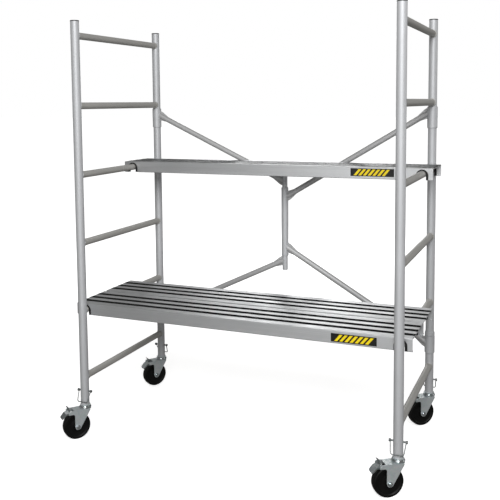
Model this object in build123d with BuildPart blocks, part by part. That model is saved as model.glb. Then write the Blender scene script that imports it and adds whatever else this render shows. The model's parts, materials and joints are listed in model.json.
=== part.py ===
from build123d import *
import math
import os

os.makedirs("parts", exist_ok=True)

# Shared frame: X along the planks, Y towards the folding brace, Z up, floor at Z = 0
center_x = 15.66           # middle of the two end frames, measured from the shared origin
center_y = 27.79
frame_length = 1180.0      # between the post axes of the two end frames
frame_depth = 600.0        # between the post axes of one end frame

# End frames
post_dia = 32.0
post_wall = 1.6
post_bottom = 127.0
post_top = 1552.0
rung_dia = 25.0
rung_wall = 1.5
rung_count = 6
rung_pitch = 254.0
first_rung = 231.0
weld_dia = 28.5            # bead where a rung meets a post
weld_len = 2.6
plug_flange = 3.5
plug_depth = 16.0

# Folding brace
sleeve_dia = 38.0
sleeve_gap = 0.06          # running clearance on the post, per side
upper_sleeve = (1150.0, 1231.5)
lower_sleeve = (283.0, 350.0)
collar_bottom = 350.5      # stop collar formed on each rear post
collar_top = 366.0
collar_dia = 37.0
inner_post_dia = 22.0
inner_post = (563.0, 965.0)
outer_post_dia = 28.0
outer_post = (622.0, 906.0)
strut_dia = 22.0
strut_wall = 1.5
left_upper = (1208.0, 929.0)    # strut height at the rear post, then at the centre post
left_lower = (322.0, 605.0)
right_upper = (1216.0, 864.0)
right_lower = (314.0, 663.0)
gusset_len = 42.0
gusset_rise = 8.0
gusset_thick = 4.0

# Planks
plank_width = 191.5
plank_top = 22.0           # above the rung axis
plank_bottom = -21.5
plank_overhang = 38.0      # past the rung axis at each end
plank_skin = 3.0
lip_width = 11.0
strip_width = 21.5
strip_pitch = 50.0
strip_sink = 1.5
strip_proud = 0.5
notch_half = 22.0          # half width and height of the notch cut in the channel
notch_top = 17.9
liner_half = 13.5          # half width and height left clear by its rubber liner
liner_top = 12.9
liner_width = 7.0
lower_rung = 1
upper_rung = 3
front_plank_y = -183.2     # plank centre lines, from the middle of the frame
rear_plank_y = 18.0
upper_plank_y = 182.0

# Casters
wheel_dia = 102.0
wheel_width = 30.0
trail = 36.0
axle_dia = 10.0
kingpin_dia = 12.0
crown_top = 113.0
washer_bottom = 123.0
crown_thick = 3.5
cup_r = 20.8               # swivel bearing cup on top of the fork
leg_inner = 19.0
leg_thick = 3.0
pedal_x = 62.0
pedal_z = 105.0
pin_height = 177.0
pin_dia = 6.0
bail_half = 25.5
bail_wire = 3.4

x_left = center_x - frame_length / 2
x_right = center_x + frame_length / 2
y_front = center_y - frame_depth / 2
y_rear = center_y + frame_depth / 2
post_r = post_dia / 2
rung_r = rung_dia / 2
bottom_up = (Align.CENTER, Align.CENTER, Align.MIN)


def save(solid, name, place=Location()):
    """Name a finished piece, put it in the shared frame and write it out."""
    piece = solid.moved(place)
    piece.label = name
    export_step(piece, f"parts/{name}.step")


def rod(start, end, radius, mode=Mode.ADD):
    """Round bar between two points."""
    axis = Vector(*end) - Vector(*start)
    with Locations(Plane(origin=start, z_dir=axis).location):
        Cylinder(radius, axis.length, align=bottom_up, mode=mode)


def upright(z0, z1, radius, mode=Mode.ADD):
    """Round bar along Z on the local axis."""
    with Locations((0, 0, z0)):
        Cylinder(radius, z1 - z0, align=bottom_up, mode=mode)


def profile_xz(points, y0, y1, mode=Mode.ADD):
    """Flat plate outlined in XZ, filling Y from y0 to y1."""
    with BuildSketch(Plane.XZ.offset(-y1)) as outline:
        Polygon(*points, align=None)
    extrude(outline.sketch, amount=y1 - y0, mode=mode)


# ---------------------------------------------------------------- end frames
def make_post(name, x, y, collar):
    """Welded upright tube with a cross hole for the caster lock pin."""
    with BuildPart() as post:
        upright(post_bottom, post_top, post_r)
        if collar:
            upright(collar_bottom, collar_top, collar_dia / 2)
            ring = [e for e in post.edges().filter_by(GeomType.CIRCLE) if e.radius > post_r + 1]
            chamfer(ring, 1.2)
        upright(post_bottom, post_top, post_r - post_wall, Mode.SUBTRACT)
        rod((-post_r - 1, 0, pin_height), (post_r + 1, 0, pin_height), pin_dia / 2 + 0.15, Mode.SUBTRACT)
    save(post.part, name, Location((x, y, 0)))


def make_rungs(name, x):
    """Six rungs coped onto the two posts, each with its weld beads."""
    with BuildPart() as rungs:
        for index in range(rung_count):
            z = first_rung + index * rung_pitch
            rod((x, y_front, z), (x, y_rear, z), rung_r)
            rod((x, y_front, z), (x, y_front + post_r + weld_len, z), weld_dia / 2)
            rod((x, y_rear - post_r - weld_len, z), (x, y_rear, z), weld_dia / 2)
        for y in (y_front, y_rear):
            with Locations((x, y, 0)):
                Cylinder(post_r, post_top, align=bottom_up, mode=Mode.SUBTRACT)
        for index in range(rung_count):
            z = first_rung + index * rung_pitch
            rod((x, y_front, z), (x, y_rear, z), rung_r - rung_wall, Mode.SUBTRACT)
    save(rungs.part, name)


def make_plug(name, x, y):
    """Push-in plastic plug closing the top of a post."""
    with BuildPart() as plug:
        upright(post_top, post_top + plug_flange, post_r + 0.4)
        fillet(plug.edges().filter_by(GeomType.CIRCLE).sort_by(Axis.Z)[-1], 2.0)
        upright(post_top - plug_depth, post_top, post_r - post_wall)
        upright(post_top - plug_depth, post_top - 2, post_r - post_wall - 2, Mode.SUBTRACT)
    save(plug.part, name, Location((x, y, 0)))


for side, x in (("left", x_left), ("right", x_right)):
    make_post(f"{side}_front_post", x, y_front, False)
    make_post(f"{side}_rear_post", x, y_rear, True)
    make_rungs(f"{side}_rungs", x)
    make_plug(f"{side}_front_plug", x, y_front)
    make_plug(f"{side}_rear_plug", x, y_rear)


# ------------------------------------------------------------- folding brace
def make_sleeve(name, x, span):
    """Sleeve turning on a rear post, its mouths tapered."""
    with BuildPart() as sleeve:
        upright(span[0], span[1], sleeve_dia / 2)
        chamfer(sleeve.edges().filter_by(GeomType.CIRCLE), 1.6, 2.4)
        upright(span[0], span[1], post_r + sleeve_gap, Mode.SUBTRACT)
    save(sleeve.part, name, Location((x, y_rear, 0)))


def make_strut(name, x_post, heights, center_dia):
    """Slanted tube from a sleeve to the centre post, with gusset fins at both ends."""
    start = Vector(x_post, y_rear, heights[0])
    end = Vector(center_x, y_rear, heights[1])
    along = (end - start).normalized()
    across = Vector(-along.Z, 0, along.X)
    length = (end - start).length
    with BuildPart() as strut:
        rod(tuple(start), tuple(end), strut_dia / 2)
        for sign in (1, -1):
            for near in (True, False):
                foot = sleeve_dia / 2 if near else center_dia / 2
                base = 0 if near else length
                step = 1 if near else -1
                corners = []
                for run, rise in (
                    (0, 0),
                    (0, strut_dia / 2 + gusset_rise),
                    (foot + 4, strut_dia / 2 + gusset_rise),
                    (foot + gusset_len, strut_dia / 2 - 1),
                    (foot + gusset_len, 0),
                ):
                    point = start + along * (base + step * run) + across * (sign * rise)
                    corners.append((point.X, point.Z))
                profile_xz(corners, y_rear - gusset_thick / 2, y_rear + gusset_thick / 2)
        rod(tuple(start), tuple(end), strut_dia / 2 - strut_wall, Mode.SUBTRACT)
        with Locations((x_post, y_rear, 0)):
            Cylinder(sleeve_dia / 2, post_top, align=bottom_up, mode=Mode.SUBTRACT)
        with Locations((center_x, y_rear, 0)):
            Cylinder(center_dia / 2, post_top, align=bottom_up, mode=Mode.SUBTRACT)
    save(strut.part, name)


for side, x in (("left", x_left), ("right", x_right)):
    make_sleeve(f"{side}_upper_sleeve", x, upper_sleeve)
    make_sleeve(f"{side}_lower_sleeve", x, lower_sleeve)

with BuildPart() as inner:
    upright(inner_post[0], inner_post[1], inner_post_dia / 2)
    chamfer(inner.edges().filter_by(GeomType.CIRCLE), 1.0)
    upright(inner_post[0], inner_post[1], inner_post_dia / 2 - 2, Mode.SUBTRACT)
save(inner.part, "center_inner_post", Location((center_x, y_rear, 0)))

with BuildPart() as outer:
    upright(outer_post[0], outer_post[1], outer_post_dia / 2)
    for z in (outer_post[0] + 5, outer_post[1] - 8):
        upright(z, z + 3, outer_post_dia / 2 + 0.9)
    mouths = outer.edges().filter_by(GeomType.CIRCLE).sort_by(Axis.Z)
    chamfer([mouths[0], mouths[-1]], 1.2)
    upright(outer_post[0], outer_post[1], inner_post_dia / 2 + sleeve_gap, Mode.SUBTRACT)
save(outer.part, "center_outer_post", Location((center_x, y_rear, 0)))

make_strut("left_upper_strut", x_left, left_upper, inner_post_dia)
make_strut("left_lower_strut", x_left, left_lower, inner_post_dia)
make_strut("right_upper_strut", x_right, right_upper, outer_post_dia)
make_strut("right_lower_strut", x_right, right_lower, outer_post_dia)


# -------------------------------------------------------------------- planks
def notch_outline(half, top):
    """Arch open at the bottom, half wide on each side of the rung axis."""
    spring = top - half
    with Locations((0, spring)):
        Circle(half)
    with Locations((0, (spring + plank_bottom - 1) / 2)):
        Rectangle(2 * half, spring - plank_bottom + 1)


def make_plank(prefix, y_mid, rung_index):
    """Aluminium channel with lined end notches and black anti-slip strips in its top."""
    half = plank_width / 2
    x0 = x_left - plank_overhang
    length = frame_length + 2 * plank_overhang
    place = Location((0, center_y + y_mid, first_rung + rung_index * rung_pitch))
    strip_lines = (-strip_pitch, 0.0, strip_pitch)

    with BuildPart() as plank:
        with BuildSketch(Plane.YZ.offset(x0)):
            with Locations((0, (plank_top + plank_bottom) / 2)):
                RectangleRounded(plank_width, plank_top - plank_bottom, 2.2)
            with Locations((0, (plank_top - 3.5 + plank_bottom + plank_skin) / 2)):
                Rectangle(
                    plank_width - 2 * plank_skin,
                    plank_top - 3.5 - plank_bottom - plank_skin,
                    mode=Mode.SUBTRACT,
                )
            with Locations((0, plank_bottom)):
                Rectangle(plank_width - 2 * lip_width, 2 * plank_skin + 1, mode=Mode.SUBTRACT)
            for y in strip_lines:
                with Locations((y, plank_top)):
                    Rectangle(strip_width, 2 * strip_sink, mode=Mode.SUBTRACT)
        extrude(amount=length)
        for x in (x_left, x_right):
            with BuildSketch(Plane.XZ.offset(-half - 1)):
                with Locations((x, 0)):
                    notch_outline(notch_half, notch_top)
            extrude(amount=plank_width + 2, mode=Mode.SUBTRACT)
    save(plank.part, prefix, place)

    with BuildPart() as strips:
        for y in strip_lines:
            with BuildSketch(Plane.YZ.offset(x0)):
                with Locations((y, plank_top - strip_sink)):
                    Rectangle(strip_width, strip_sink + strip_proud, align=(Align.CENTER, Align.MIN))
            extrude(amount=length)
    save(strips.part, f"{prefix}_grip_strips", place)

    for side, x in (("left", x_left), ("right", x_right)):
        with BuildPart() as liners:
            for y_out in (half + 1.0, -half - 1.0 + liner_width):
                with BuildSketch(Plane.XZ.offset(-y_out)):
                    with Locations((x, 0)):
                        notch_outline(notch_half, notch_top)
                extrude(amount=liner_width)
                with BuildSketch(Plane.XZ.offset(-y_out)):
                    with Locations((x, 0)):
                        notch_outline(liner_half, liner_top)
                extrude(amount=liner_width, mode=Mode.SUBTRACT)
            with Locations((x, 0, plank_bottom - 5)):
                Box(80, plank_width + 10, 12, mode=Mode.SUBTRACT)
        save(liners.part, f"{prefix}_{side}_liners", place)


make_plank("front_plank", front_plank_y, lower_rung)
make_plank("rear_plank", rear_plank_y, lower_rung)
make_plank("upper_plank", upper_plank_y, upper_rung)


# ------------------------------------------------------------------- casters
def make_caster(prefix, x, y, heading, outward):
    """Braked swivel caster; local +X points to the trailing wheel."""
    turned = Location((x, y, 0), (0, 0, heading))
    square = Location((x, y, 0))
    leg_outer = leg_inner + leg_thick
    axle_z = wheel_dia / 2

    with BuildPart() as stem:
        upright(washer_bottom, post_bottom, 19.0)
        fillet(stem.edges().filter_by(GeomType.CIRCLE), 1.2)
        upright(crown_top - 11.0, washer_bottom, kingpin_dia / 2)
        upright(crown_top - 11.0, crown_top - crown_thick - 0.3, 9.0)
        upright(post_bottom, post_bottom + 92, post_r - post_wall - 0.15)
        chamfer(stem.edges().filter_by(GeomType.CIRCLE).sort_by(Axis.Z)[-1], 1.5)
        rod((-post_r, 0, pin_height), (post_r, 0, pin_height), pin_dia / 2 + 0.1, Mode.SUBTRACT)
    save(stem.part, f"{prefix}_caster_stem", square)

    with BuildPart() as fork:
        upright(crown_top - crown_thick, crown_top, cup_r + 0.8)
        with Locations((22.0, 0, crown_top - crown_thick)):
            Box(54.0, 2 * leg_outer, crown_thick, align=bottom_up)
        upright(crown_top, washer_bottom - 3.5, cup_r)
        upright(crown_top + 1.5, crown_top + 5.0, cup_r + 1.5)
        upright(washer_bottom - 3.5, washer_bottom - 0.4, cup_r - 2.0)
        rims = fork.edges().filter_by(GeomType.CIRCLE)
        fillet([e for e in rims if abs(e.radius - cup_r - 1.5) < 0.1], 0.8)
        top_rims = [e for e in rims if e.arc_center.Z > washer_bottom - 4]
        fillet([e for e in top_rims if e.radius > cup_r - 0.1 or e.arc_center.Z > washer_bottom - 1], 0.8)
        outline = [
            (-12.0, crown_top), (-13.0, 108.0), (20.5, 52.0), (25.0, 43.5), (31.0, 39.0), (39.0, 39.0),
            (44.0, 43.5), (46.0, 52.0), (46.0, 94.0), (50.0, 99.5), (68.5, 99.5), (70.5, crown_top - 4),
            (66.0, crown_top),
        ]
        for side in (1, -1):
            inner_face, outer_face = sorted((side * leg_inner, side * leg_outer))
            profile_xz(outline, inner_face, outer_face)
        rod((pedal_x, -leg_outer - 2, pedal_z), (pedal_x, leg_outer + 2, pedal_z), 2.5)
        for side in (1, -1):
            low, high = sorted((side * leg_outer, side * (leg_outer + 2)))
            rod((pedal_x, low, pedal_z), (pedal_x, high, pedal_z), 4.2)
        upright(crown_top - 5, washer_bottom, kingpin_dia / 2 + sleeve_gap, Mode.SUBTRACT)
        rod((trail, -leg_outer, axle_z), (trail, leg_outer, axle_z), axle_dia / 2 + 0.1, Mode.SUBTRACT)
    save(fork.part, f"{prefix}_caster_fork", turned)

    with BuildPart() as wheel:
        with BuildSketch(Plane.XY) as section:
            Polygon(
                (6, 0), (6, 17.4), (13, 17.4), (15, 13), (26, 11), (39, 12.5), (42, 15),
                (47.5, 15), (50, 12.5), (51, 7), (51, 0), align=None,
            )
            mirror(about=Plane.XZ)
        revolve(axis=Axis.Y)
        rod((0, -18, 0), (0, 18, 0), axle_dia / 2 + sleeve_gap, Mode.SUBTRACT)
    save(wheel.part, f"{prefix}_wheel", turned * Location((trail, 0, axle_z)))

    with BuildPart() as axle:
        rod((0, -leg_outer, 0), (0, leg_outer, 0), axle_dia / 2)
        rod((0, -leg_outer - 4.5, 0), (0, -leg_outer, 0), 8.0)
        fillet(axle.edges().filter_by(GeomType.CIRCLE).sort_by(Axis.Y)[0], 1.5)
        rod((0, leg_outer, 0), (0, leg_outer + 9.0, 0), 4.6)
        with BuildSketch(Plane.XZ.offset(-leg_outer - 6)):
            RegularPolygon(8.2, 6)
        extrude(amount=6)
    save(axle.part, f"{prefix}_axle", turned * Location((trail, 0, axle_z)))

    with BuildPart() as pedal:
        rod((0, -17.5, 0), (0, 17.5, 0), 4.6)
        profile_xz(
            [(0, 4.6), (17, -1.0), (32.5, -18.0), (30.5, -21.0), (15.0, -6.0), (0, 1.0)], -16.0, 16.0
        )
        fillet([e for e in pedal.edges() if e.center().X > 31.4 and e.length < 4], 8.0)
        profile_xz([(-2.2, 0), (2.6, 18.5), (5.4, 17.8), (2.2, 0)], -9.0, 9.0)
        profile_xz([(2.6, 18.5), (5.4, 17.8), (10.6, 20.6), (9.8, 23.2)], -9.0, 9.0)
        profile_xz([(-2.5, 0), (3.6, -10.5), (7.4, -10.2), (5.0, 0)], -9.0, 9.0)
        rod((0, -18, 0), (0, 18, 0), 2.5 + sleeve_gap, Mode.SUBTRACT)
    save(pedal.part, f"{prefix}_brake_pedal", turned * Location((pedal_x, 0, pedal_z)))

    with BuildPart() as pin:
        rod((-30.0, 0, 0), (30.0, 0, 0), pin_dia / 2)
        for side in (1, -1):
            low, high = sorted((side * 27.6, side * 30.0))
            rod((low, 0, 0), (high, 0, 0), 5.2)
    save(pin.part, f"{prefix}_lock_pin", Location((x, y, pin_height)))

    drop, lean, foot = 38.0, 18.9 * outward, 21.0
    with BuildPart() as bail:
        with BuildLine() as wire:
            FilletPolyline(
                (-bail_half, 0, 0), (-foot, lean, -drop), (foot, lean, -drop), (bail_half, 0, 0), radius=6.5
            )
        with BuildSketch(Plane(origin=wire.line @ 0, z_dir=wire.line % 0)):
            Circle(bail_wire / 2)
        sweep(path=wire.line)
        for side in (1, -1):
            rod((side * (bail_half - 1.8), 0, 0), (side * (bail_half + 1.8), 0, 0), 5.0)
        rod((-35, 0, 0), (35, 0, 0), pin_dia / 2 + sleeve_gap, Mode.SUBTRACT)
    save(bail.part, f"{prefix}_pin_bail", Location((x, y, pin_height)))


make_caster("left_front", x_left, y_front, 231.0, -1)
make_caster("left_rear", x_left, y_rear, 234.0, 1)
make_caster("right_front", x_right, y_front, 215.0, -1)
make_caster("right_rear", x_right, y_rear, 220.0, 1)
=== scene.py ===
import json
import math
import random

import bmesh
import bpy
from mathutils import Matrix, Vector


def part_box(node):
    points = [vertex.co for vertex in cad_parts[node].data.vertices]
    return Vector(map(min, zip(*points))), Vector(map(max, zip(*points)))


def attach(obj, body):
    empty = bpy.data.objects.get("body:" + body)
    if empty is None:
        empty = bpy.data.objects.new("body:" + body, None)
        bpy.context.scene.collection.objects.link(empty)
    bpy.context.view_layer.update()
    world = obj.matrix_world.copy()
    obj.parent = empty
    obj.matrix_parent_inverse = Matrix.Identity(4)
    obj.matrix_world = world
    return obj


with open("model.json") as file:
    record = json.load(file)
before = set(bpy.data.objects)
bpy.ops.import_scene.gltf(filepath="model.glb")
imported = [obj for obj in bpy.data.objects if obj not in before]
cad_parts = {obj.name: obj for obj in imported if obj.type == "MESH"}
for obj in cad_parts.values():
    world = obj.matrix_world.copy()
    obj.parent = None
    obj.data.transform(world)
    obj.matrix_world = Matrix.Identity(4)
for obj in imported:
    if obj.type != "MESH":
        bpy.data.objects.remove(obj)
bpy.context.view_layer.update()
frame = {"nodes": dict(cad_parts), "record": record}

random.seed(7)
NODES = frame["nodes"]
SIDES = ("left", "right")
ENDS = ("front", "rear")

POST_R = 0.016
RUNG_R = 0.0125
SLEEVE_R = 0.019
FIRST_RUNG = 0.231
RUNG_PITCH = 0.254
RUNG_COUNT = 6
STRUT_R = 0.011
INNER_POST_R = 0.011
OUTER_POST_R = 0.014
PRESSED_EDGE = 0.0008
FILM, PRINT = 0.0003, 0.0005            # how far a sticker's ground and its stripes stand proud
RUNG_FILLET, RUNG_BEAD = 0.0012, 0.0019     # how far a weld stands off the tube, and its thickness
STRUT_FILLET, STRUT_BEAD = 0.0006, 0.0016
STRUT_HEIGHTS = {                       # at the rear post, then at the centre post
    "left": ((1.208, 0.929), (0.322, 0.605)),
    "right": ((1.216, 0.864), (0.314, 0.663)),
}


# ------------------------------------------------------------------ materials
class Recipe:
    """A node material being built up from texture coordinates in the shared frame."""

    def __init__(self, name):
        self.material = bpy.data.materials.new(name)
        self.material.use_nodes = True
        self.tree = self.material.node_tree
        self.shader = self.tree.nodes["Principled BSDF"]
        self.coords = self.tree.nodes.new("ShaderNodeTexCoord").outputs["Object"]

    def node(self, kind, **settings):
        made = self.tree.nodes.new(kind)
        for key, value in settings.items():
            setattr(made, key, value)
        return made

    def link(self, source, target):
        self.tree.links.new(source, target)

    def constant(self, socket, value):
        self.shader.inputs[socket].default_value = value

    def stretched(self, scale):
        mapping = self.node("ShaderNodeMapping")
        mapping.inputs["Scale"].default_value = scale
        self.link(self.coords, mapping.inputs["Vector"])
        return mapping.outputs["Vector"]

    def noise(self, scale, detail=4.0, rough=0.55, vector=None):
        made = self.node("ShaderNodeTexNoise")
        made.inputs["Scale"].default_value = scale
        made.inputs["Detail"].default_value = detail
        made.inputs["Roughness"].default_value = rough
        self.link(vector or self.coords, made.inputs["Vector"])
        return made.outputs["Fac"]

    def voronoi(self, scale, feature="F1", vector=None):
        made = self.node("ShaderNodeTexVoronoi", feature=feature)
        made.inputs["Scale"].default_value = scale
        self.link(vector or self.coords, made.inputs["Vector"])
        return made.outputs

    def spread(self, value, low, high, out_low=0.0, out_high=1.0):
        made = self.node("ShaderNodeMapRange")
        for key, number in (
            ("From Min", low), ("From Max", high), ("To Min", out_low), ("To Max", out_high)
        ):
            made.inputs[key].default_value = number
        self.link(value, made.inputs["Value"])
        return made.outputs["Result"]

    def blend(self, factor, first, second, mode="MIX"):
        made = self.node("ShaderNodeMix", data_type="RGBA", blend_type=mode)
        if isinstance(factor, float):
            made.inputs[0].default_value = factor
        else:
            self.link(factor, made.inputs[0])
        for socket, colour in ((made.inputs[6], first), (made.inputs[7], second)):
            if isinstance(colour, tuple):
                socket.default_value = (*colour, 1.0)
            else:
                self.link(colour, socket)
        return made.outputs[2]

    def math(self, operation, first, second):
        made = self.node("ShaderNodeMath", operation=operation)
        for socket, value in ((made.inputs[0], first), (made.inputs[1], second)):
            if isinstance(value, float):
                socket.default_value = value
            else:
                self.link(value, socket)
        return made.outputs[0]

    def bump(self, height, strength, distance, below=None):
        made = self.node("ShaderNodeBump")
        made.inputs["Strength"].default_value = strength
        made.inputs["Distance"].default_value = distance
        self.link(height, made.inputs["Height"])
        if below:
            self.link(below, made.inputs["Normal"])
        return made.outputs["Normal"]

    def finish(self, colour, rough, normal):
        self.link(colour, self.shader.inputs["Base Color"])
        self.link(rough, self.shader.inputs["Roughness"])
        self.link(normal, self.shader.inputs["Normal"])
        return self.material


def silver_paint(name, tone):
    """Silver-grey metallic paint on tube: flake, faint orange peel and handling smudges."""
    r = Recipe(name)
    cloud = r.noise(5.0, 5.0)
    flake = r.voronoi(2600.0)["Distance"]
    smudge = r.noise(38.0, 6.0, 0.65)
    light = tuple(min(1.0, c * 1.03) for c in tone)
    dark = tuple(c * 0.955 for c in tone)
    colour = r.blend(r.spread(cloud, 0.35, 0.65), dark, light)
    colour = r.blend(r.spread(flake, 0.1, 0.6, 0.0, 0.10), colour, (0.85, 0.86, 0.88))
    colour = r.blend(r.spread(smudge, 0.60, 0.78, 0.0, 0.09), colour, (0.33, 0.33, 0.34))
    rough = r.spread(r.math("ADD", smudge, cloud), 0.7, 1.35, 0.53, 0.62)
    peel = r.bump(r.noise(420.0, 2.0), 0.06, 0.0003)
    grain = r.bump(flake, 0.04, 0.0001, peel)
    r.constant("Metallic", 0.35)
    r.constant("Coat Weight", 0.08)
    r.constant("Coat Roughness", 0.3)
    return r.finish(colour, rough, grain)


def extruded_aluminium(name, tone):
    """Mill-finish extrusion: long die lines along X, faint blotches and small scratches."""
    r = Recipe(name)
    die = r.noise(1.0, 3.0, 0.6, r.stretched((1.5, 900.0, 900.0)))
    wide = r.noise(1.0, 3.0, 0.5, r.stretched((0.8, 60.0, 60.0)))
    blotch = r.noise(9.0, 5.0, 0.6)
    scratch = r.noise(1.0, 2.0, 0.5, r.stretched((14.0, 240.0, 240.0)))
    bright = tuple(min(1.0, c * 1.04) for c in tone)
    dull = tuple(c * 0.88 for c in tone)
    colour = r.blend(r.spread(die, 0.3, 0.7), dull, bright)
    colour = r.blend(r.spread(blotch, 0.45, 0.75, 0.0, 0.25), colour, dull)
    colour = r.blend(r.spread(scratch, 0.70, 0.80, 0.0, 0.35), colour, (0.9, 0.9, 0.9))
    rough = r.spread(r.math("ADD", wide, blotch), 0.7, 1.3, 0.40, 0.52)
    lines = r.bump(die, 0.10, 0.0002)
    r.constant("Metallic", 0.85)
    return r.finish(colour, rough, lines)


def zinc_plate(name, tone, rough_low, rough_high, metallic):
    """Zinc plate: soft spangle, clouded passivation and draw marks."""
    r = Recipe(name)
    spangle = r.voronoi(240.0)["Color"]
    cloud = r.noise(60.0, 5.0, 0.6)
    fine = r.noise(900.0, 3.0)
    clouded = (tone[0] * 0.80, tone[1] * 0.86, tone[2] * 0.87)
    colour = r.blend(r.spread(cloud, 0.35, 0.7), tone, clouded)
    colour = r.blend(0.08, colour, spangle, "SOFT_LIGHT")
    rough = r.spread(cloud, 0.3, 0.7, rough_low, rough_high)
    normal = r.bump(cloud, 0.08, 0.001)
    normal = r.bump(fine, 0.07, 0.0002, normal)
    r.constant("Metallic", metallic)
    return r.finish(colour, rough, normal)


def grit_strip(name):
    """Black anti-slip rubber with embedded grit."""
    r = Recipe(name)
    grain = r.voronoi(1500.0)["Distance"]
    specks = r.voronoi(800.0)["Distance"]
    dust = r.noise(30.0, 6.0, 0.65)
    colour = r.blend(r.spread(specks, 0.0, 0.12, 1.0, 0.0), (0.008, 0.008, 0.008), (0.05, 0.05, 0.05))
    colour = r.blend(r.spread(dust, 0.55, 0.8, 0.0, 0.35), colour, (0.03, 0.029, 0.028))
    rough = r.spread(dust, 0.3, 0.7, 0.84, 0.95)
    normal = r.bump(grain, 0.6, 0.0006)
    r.constant("Specular IOR Level", 0.08)
    return r.finish(colour, rough, normal)


def moulded_rubber(name, tone, dusty):
    """Dark moulded rubber or plastic: fine mould grain and a little dust."""
    r = Recipe(name)
    grain = r.noise(1400.0, 2.0)
    patch = r.noise(28.0, 6.0, 0.65)
    colour = r.blend(r.spread(patch, 0.45, 0.8, 0.0, dusty), tone, (0.12, 0.11, 0.10))
    rough = r.spread(patch, 0.3, 0.7, 0.38, 0.62)
    normal = r.bump(grain, 0.18, 0.0003)
    normal = r.bump(patch, 0.05, 0.002, normal)
    r.constant("Specular IOR Level", 0.2)
    return r.finish(colour, rough, normal)


def printed_vinyl(name, tone, other):
    """Printed vinyl: screen-print mottling under a slightly wavy clear film."""
    r = Recipe(name)
    dots = r.voronoi(1300.0)["Distance"]
    cloud = r.noise(45.0, 4.0)
    colour = r.blend(r.spread(cloud, 0.35, 0.7, 0.0, 0.35), tone, other)
    colour = r.blend(r.spread(dots, 0.0, 0.25, 0.10, 0.0), colour, (0.02, 0.02, 0.02))
    rough = r.spread(cloud, 0.3, 0.7, 0.28, 0.42)
    normal = r.bump(cloud, 0.06, 0.0015)
    r.constant("Specular IOR Level", 0.22)
    r.constant("Coat Weight", 0.04)
    r.constant("Coat Roughness", 0.18)
    return r.finish(colour, rough, normal)


FINISHES = {
    "frame_paint": silver_paint("silver_paint", (0.50, 0.51, 0.525)),
    "plank_aluminium": extruded_aluminium("extruded_aluminium", (0.600, 0.610, 0.620)),
    "grip_rubber": grit_strip("grit_strip"),
    "liner_rubber": moulded_rubber("liner_rubber", (0.012, 0.012, 0.013), 0.2),
    "black_plastic": moulded_rubber("black_plastic", (0.016, 0.016, 0.018), 0.15),
    "zinc_steel": zinc_plate("zinc_plate", (0.62, 0.65, 0.66), 0.36, 0.48, 0.6),
    "wheel_black": moulded_rubber("wheel_rubber", (0.0015, 0.0015, 0.0014), 0.02),
}
# rungs: a darker, warmer copy of the silver paint, i.e. painted shade and a painted warm reflection
SHADED_WARM_RUNG_PAINT = silver_paint("rung_paint_painted_shade", (0.425, 0.416, 0.392))
# struts: a darker copy of the silver paint, i.e. painted shade
SHADED_STRUT_PAINT = silver_paint("strut_paint_painted_shade", (0.425, 0.427, 0.428))
POLISHED_ZINC = zinc_plate("polished_zinc", (0.62, 0.64, 0.65), 0.10, 0.18, 0.95)
PEDAL_ZINC = zinc_plate("pedal_zinc", (0.34, 0.36, 0.36), 0.26, 0.38, 0.8)
WIRE_ZINC = zinc_plate("wire_zinc", (0.20, 0.21, 0.21), 0.30, 0.42, 0.5)
STICKER_YELLOW = printed_vinyl("sticker_yellow", (0.86, 0.66, 0.01), (0.78, 0.56, 0.01))
STICKER_BLACK = printed_vinyl("sticker_black", (0.008, 0.008, 0.007), (0.014, 0.014, 0.014))


def paint(obj, material):
    """Gives a CAD node one material in place of its own."""
    obj.data.materials.clear()
    obj.data.materials.append(material)


for entry in frame["record"]["subparts"]:
    node = entry["node"]
    if node.endswith(("lock_pin", "pin_bail")):
        paint(NODES[node], WIRE_ZINC)
    elif node.endswith("rungs"):
        paint(NODES[node], SHADED_WARM_RUNG_PAINT)
    elif node.endswith("strut"):
        paint(NODES[node], SHADED_STRUT_PAINT)
    elif node.endswith("brake_pedal"):
        paint(NODES[node], PEDAL_ZINC)
    elif node.endswith("axle"):
        paint(NODES[node], POLISHED_ZINC)
    else:
        paint(NODES[node], FINISHES[entry["material_slot"]])


def soften(obj):
    """Small rounded edges on a folded or pressed piece."""
    bevel = obj.modifiers.new("edges", "BEVEL")
    bevel.width = PRESSED_EDGE
    bevel.segments = 2
    bevel.limit_method = "ANGLE"
    bevel.angle_limit = math.radians(35.0)
    bevel.harden_normals = False


# -------------------------------------------------------------- added pieces
def add_mesh(name, bm, material, body, smooth=True):
    """Turns a bmesh into an object that rides on a CAD body."""
    mesh = bpy.data.meshes.new(name)
    bmesh.ops.recalc_face_normals(bm, faces=bm.faces)
    bm.to_mesh(mesh)
    bm.free()
    for polygon in mesh.polygons:
        polygon.use_smooth = smooth
    obj = bpy.data.objects.new(name, mesh)
    bpy.context.scene.collection.objects.link(obj)
    obj.data.materials.append(material)
    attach(obj, body)
    return obj


def tube_loop(bm, points, radii):
    """Closed tube through a ring of points, its radius changing from point to point."""
    sides = 8
    count = len(points)
    rings = []
    middle = sum(points, Vector()) / count
    for i, point in enumerate(points):
        along = (points[(i + 1) % count] - points[i - 1]).normalized()
        out = point - middle
        out = (out - along * out.dot(along)).normalized()
        side = along.cross(out)
        ring = []
        for k in range(sides):
            a = 2 * math.pi * k / sides
            ring.append(bm.verts.new(point + (out * math.cos(a) + side * math.sin(a)) * radii[i]))
        rings.append(ring)
    for i in range(count):
        a, b = rings[i], rings[(i + 1) % count]
        for k in range(sides):
            n = (k + 1) % sides
            bm.faces.new((a[k], a[n], b[n], b[k]))


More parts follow.
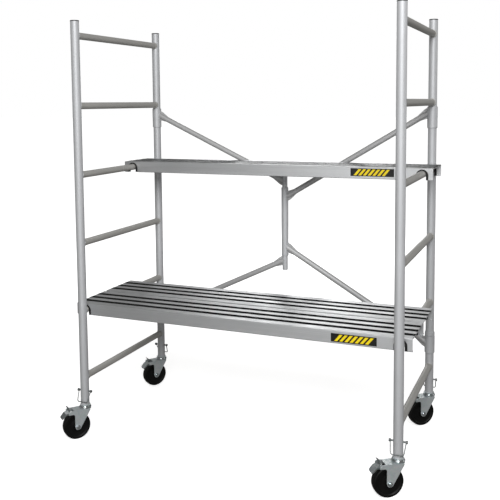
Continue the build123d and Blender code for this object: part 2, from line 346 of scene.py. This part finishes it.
def weld_ring(bm, origin, direction, upright_r, branch_r, size):
    """Rippled weld where a round branch meets an upright tube: the saddle line between them."""
    steps = 72
    ripples = 9.0
    side = direction.cross(Vector((0, 0, 1))).normalized()
    rise = side.cross(direction).normalized()
    if rise.z < 0:
        rise = -rise
    points, radii = [], []
    flat = Vector((direction.x, direction.y, 0))
    for i in range(steps):
        a = 2 * math.pi * i / steps
        ray = origin + side * (branch_r * math.cos(a)) + rise * (branch_r * math.sin(a))
        # where the ray along the branch leaves the upright: a quadratic in the distance along it
        from_axis = Vector((ray.x - origin.x, ray.y - origin.y, 0))
        square = flat.dot(flat)
        linear = 2 * from_axis.dot(flat)
        rest = from_axis.dot(from_axis) - upright_r ** 2
        root = math.sqrt(max(0.0, linear * linear - 4 * square * rest))
        points.append(ray + direction * ((root - linear) / (2 * square)))
        ripple = 0.82 + 0.18 * abs(math.sin(a * ripples)) + random.uniform(-0.04, 0.04)
        radii.append(size * ripple)
    tube_loop(bm, points, radii)


def node_middle(name):
    """Middle of a CAD node's box at rest."""
    low, high = (Vector(c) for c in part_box(name))
    return (low + high) / 2


def rung_welds(side):
    """Weld beads at both ends of every rung of one end frame."""
    welds = bmesh.new()
    for end, inward in (("front", Vector((0, 1, 0))), ("rear", Vector((0, -1, 0)))):
        post = node_middle(f"{side}_{end}_plug")
        for index in range(RUNG_COUNT):
            joint = Vector((post.x, post.y, FIRST_RUNG + index * RUNG_PITCH))
            weld_ring(welds, joint, inward, POST_R, RUNG_R + RUNG_FILLET, RUNG_BEAD)
    add_mesh(f"{side}_rung_welds", welds, FINISHES["frame_paint"], f"{side}_frame")


for side in SIDES:
    rung_welds(side)


def panel(bm, middle, x0, x1, half_height, lift, lean):
    """Thin slab standing proud of the front face at middle, its top edge shifted sideways by lean."""
    z = half_height
    corners = ((x0 - lean, -z), (x1 - lean, -z), (x1 + lean, z), (x0 + lean, z))
    sunk = 0.0001
    front = [bm.verts.new((middle.x + x, middle.y - lift, middle.z + z)) for x, z in corners]
    back = [bm.verts.new((middle.x + x, middle.y + sunk, middle.z + z)) for x, z in corners]
    bm.faces.new(front)
    bm.faces.new(back[::-1])
    for i in range(4):
        n = (i + 1) % 4
        bm.faces.new((front[i], back[i], back[n], front[n]))


def sticker(name, plank, x_offset, z_offset, length, height):
    """Plain hazard sticker: even yellow slanted stripes on black, inside a black margin.

    Its middle is x_offset from the brace's centre post and z_offset from the middle of the rail.
    """
    low, high = (Vector(c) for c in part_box(plank))
    middle = Vector((
        node_middle("center_inner_post").x + x_offset, low.y, (low.z + high.z) / 2 + z_offset
    ))
    body = plank + "_body"
    margin, end_gap = height * 0.11, height * 0.40
    pitch, stripe, lean = height * 0.60, height * 0.36, height * 0.32
    ground = bmesh.new()
    panel(ground, middle, -length / 2, length / 2, height / 2, FILM, 0)
    add_mesh(name + "_ground", ground, STICKER_BLACK, body, smooth=False)
    stripes = bmesh.new()
    x = -length / 2 + lean + end_gap
    while x + stripe + lean < length / 2 - margin:
        panel(stripes, middle, x, x + stripe, height / 2 - margin, PRINT, lean)
        x += pitch
    add_mesh(name + "_stripes", stripes, STICKER_YELLOW, body, smooth=False)


sticker("lower_sticker", "front_plank", x_offset=0.4385, z_offset=-0.0014, length=0.152, height=0.0285)
sticker("upper_sticker", "upper_plank", x_offset=0.4110, z_offset=0.0020, length=0.160, height=0.0290)


def strut_welds(side, center_r):
    """Weld beads at both ends of the two struts of one brace leaf."""
    welds = bmesh.new()
    center = node_middle("center_inner_post")
    post = node_middle(f"{side}_rear_plug")
    for at_post, at_center in STRUT_HEIGHTS[side]:
        foot = Vector((post.x, post.y, at_post))
        head = Vector((center.x, post.y, at_center))
        along = (head - foot).normalized()
        weld_ring(welds, foot, along, SLEEVE_R, STRUT_R + STRUT_FILLET, STRUT_BEAD)
        weld_ring(welds, head, -along, center_r, STRUT_R + STRUT_FILLET, STRUT_BEAD)
    add_mesh(f"{side}_strut_welds", welds, FINISHES["frame_paint"], f"{side}_brace")


strut_welds("left", INNER_POST_R)
strut_welds("right", OUTER_POST_R)


def lathe(bm, center, profile):
    """Closed ring turned about a vertical axis through center."""
    steps = 64
    rings = []
    for i in range(steps):
        a = 2 * math.pi * i / steps
        rings.append([
            bm.verts.new((center.x + r * math.cos(a), center.y + r * math.sin(a), z)) for r, z in profile
        ])
    count = len(profile)
    for i in range(steps):
        a, b = rings[i], rings[(i + 1) % steps]
        for k in range(count):
            n = (k + 1) % count
            bm.faces.new((a[k], b[k], b[n], a[n]))


CUP_PROFILE = (                         # radius and height: upper lip, groove, lower lip, bore
    (0.0182, 0.1224), (0.0196, 0.1224), (0.0206, 0.1219), (0.0212, 0.1208), (0.0213, 0.1192),
    (0.0215, 0.1186), (0.0223, 0.1183), (0.0227, 0.1174), (0.0227, 0.1158), (0.0223, 0.1149),
    (0.0215, 0.1145), (0.0213, 0.1138), (0.0215, 0.1132), (0.0180, 0.1132),
)


def bearing_cup(prefix):
    """Polished double-lipped swivel cup round the top of a caster fork."""
    cup = bmesh.new()
    lathe(cup, node_middle(prefix + "_caster_stem"), CUP_PROFILE)
    add_mesh(prefix + "_bearing_cup", cup, POLISHED_ZINC, prefix + "_swivel")


for side in SIDES:
    for end in ENDS:
        bearing_cup(f"{side}_{end}")

for node, obj in NODES.items():
    if node.endswith(("caster_fork", "brake_pedal")):
        soften(obj)


# ------------------------------------------------------------------- studio
def backdrop():
    """Pale floor that gives its own light, so that it runs into the white paper behind."""
    bm = bmesh.new()
    bmesh.ops.create_grid(bm, x_segments=1, y_segments=1, size=60.0)
    mesh = bpy.data.meshes.new("studio_floor")
    bm.to_mesh(mesh)
    bm.free()
    floor = bpy.data.objects.new("studio_floor", mesh)
    bpy.context.scene.collection.objects.link(floor)
    r = Recipe("floor_paper")
    r.finish(
        r.blend(r.spread(r.noise(3.0), 0.3, 0.7), (0.93, 0.93, 0.93), (0.95, 0.95, 0.95)),
        r.spread(r.noise(40.0), 0.3, 0.7, 0.85, 0.95),
        r.bump(r.noise(300.0), 0.02, 0.0005),
    )
    r.constant("Specular IOR Level", 0.1)
    r.constant("Emission Color", (1.0, 1.0, 1.0, 1.0))
    # dimmer round the object, where the contact shadows fall, and white from there outwards
    away = r.node("ShaderNodeVectorMath", operation="LENGTH")
    r.link(r.coords, away.inputs[0])
    r.link(r.spread(away.outputs["Value"], 0.9, 3.2, 0.66, 0.95), r.shader.inputs["Emission Strength"])
    floor.data.materials.append(r.material)
    floor.visible_glossy = False
    floor.visible_diffuse = False


def soft_light(name, place, aim, width, height, power):
    """Rectangular soft box at place, facing aim; metres and watts."""
    data = bpy.data.lights.new(name, "AREA")
    data.shape = "RECTANGLE"
    data.size, data.size_y = width, height
    data.energy = power
    lamp = bpy.data.objects.new(name, data)
    lamp.location = place
    lamp.rotation_euler = (Vector(aim) - Vector(place)).to_track_quat("-Z", "Y").to_euler()
    bpy.context.scene.collection.objects.link(lamp)


def studio_world():
    """White paper all round to the eye, a dimmer room for light and reflections."""
    world = bpy.data.worlds.new("studio")
    world.use_nodes = True
    tree = world.node_tree
    seen = tree.nodes["Background"]
    seen.inputs["Color"].default_value = (1, 1, 1, 1)
    seen.inputs["Strength"].default_value = 1.0
    room = tree.nodes.new("ShaderNodeBackground")
    room.inputs["Color"].default_value = (1.0, 0.985, 0.96, 1)
    room.inputs["Strength"].default_value = 0.17
    path = tree.nodes.new("ShaderNodeLightPath")
    mix = tree.nodes.new("ShaderNodeMixShader")
    tree.links.new(path.outputs["Is Camera Ray"], mix.inputs[0])
    tree.links.new(room.outputs[0], mix.inputs[1])
    tree.links.new(seen.outputs[0], mix.inputs[2])
    tree.links.new(mix.outputs[0], tree.nodes["World Output"].inputs[0])
    bpy.context.scene.world = world
    bpy.context.scene.view_settings.view_transform = "Standard"


def photo_camera():
    """Camera in front of the right end, a little above the upper plank."""
    place = Vector((1.0700, -2.6489, 1.2502))
    yaw, pitch, roll = (math.radians(a) for a in (-23.245, 5.122, 0.583))
    level = math.cos(pitch)
    ahead = Vector((math.sin(yaw) * level, math.cos(yaw) * level, -math.sin(pitch)))
    right = Vector((math.cos(yaw), -math.sin(yaw), 0))
    down = ahead.cross(right)
    right_r = right * math.cos(roll) + down * math.sin(roll)
    down_r = down * math.cos(roll) - right * math.sin(roll)
    data = bpy.data.cameras.new("photo_camera")
    data.sensor_width = 36.0            # mm, as is the lens
    data.lens = 55.64
    data.shift_x = 0.0311
    data.shift_y = -0.1546
    data.clip_end = 200.0
    camera = bpy.data.objects.new("photo_camera", data)
    turn = Matrix((right_r, -down_r, -ahead)).transposed()
    camera.matrix_world = Matrix.Translation(place) @ turn.to_4x4()
    bpy.context.scene.collection.objects.link(camera)
    bpy.context.scene.camera = camera


backdrop()
photo_camera()
soft_light("key_box", (1.4, -3.2, 2.7), (0, 0, 1.0), width=1.8, height=1.8, power=144)
soft_light("low_fill", (0.2, -3.2, 0.3), (0, 0, 1.0), width=1.6, height=1.0, power=9)
soft_light("rail_box", (-0.35, -3.1, 1.05), (0.4, 0.0, 0.99), width=0.6, height=0.4, power=4.2)
soft_light("rear_box", (-1.15, 4.3, 2.2), (0, 0, 0.6), width=1.8, height=1.0, power=30)
soft_light("right_fill", (3.6, 1.6, 1.5), (0, 0, 0.8), width=1.6, height=1.6, power=13)
soft_light("left_fill", (-3.4, 1.8, 1.5), (0, 0, 0.8), width=1.6, height=1.6, power=9)
studio_world()
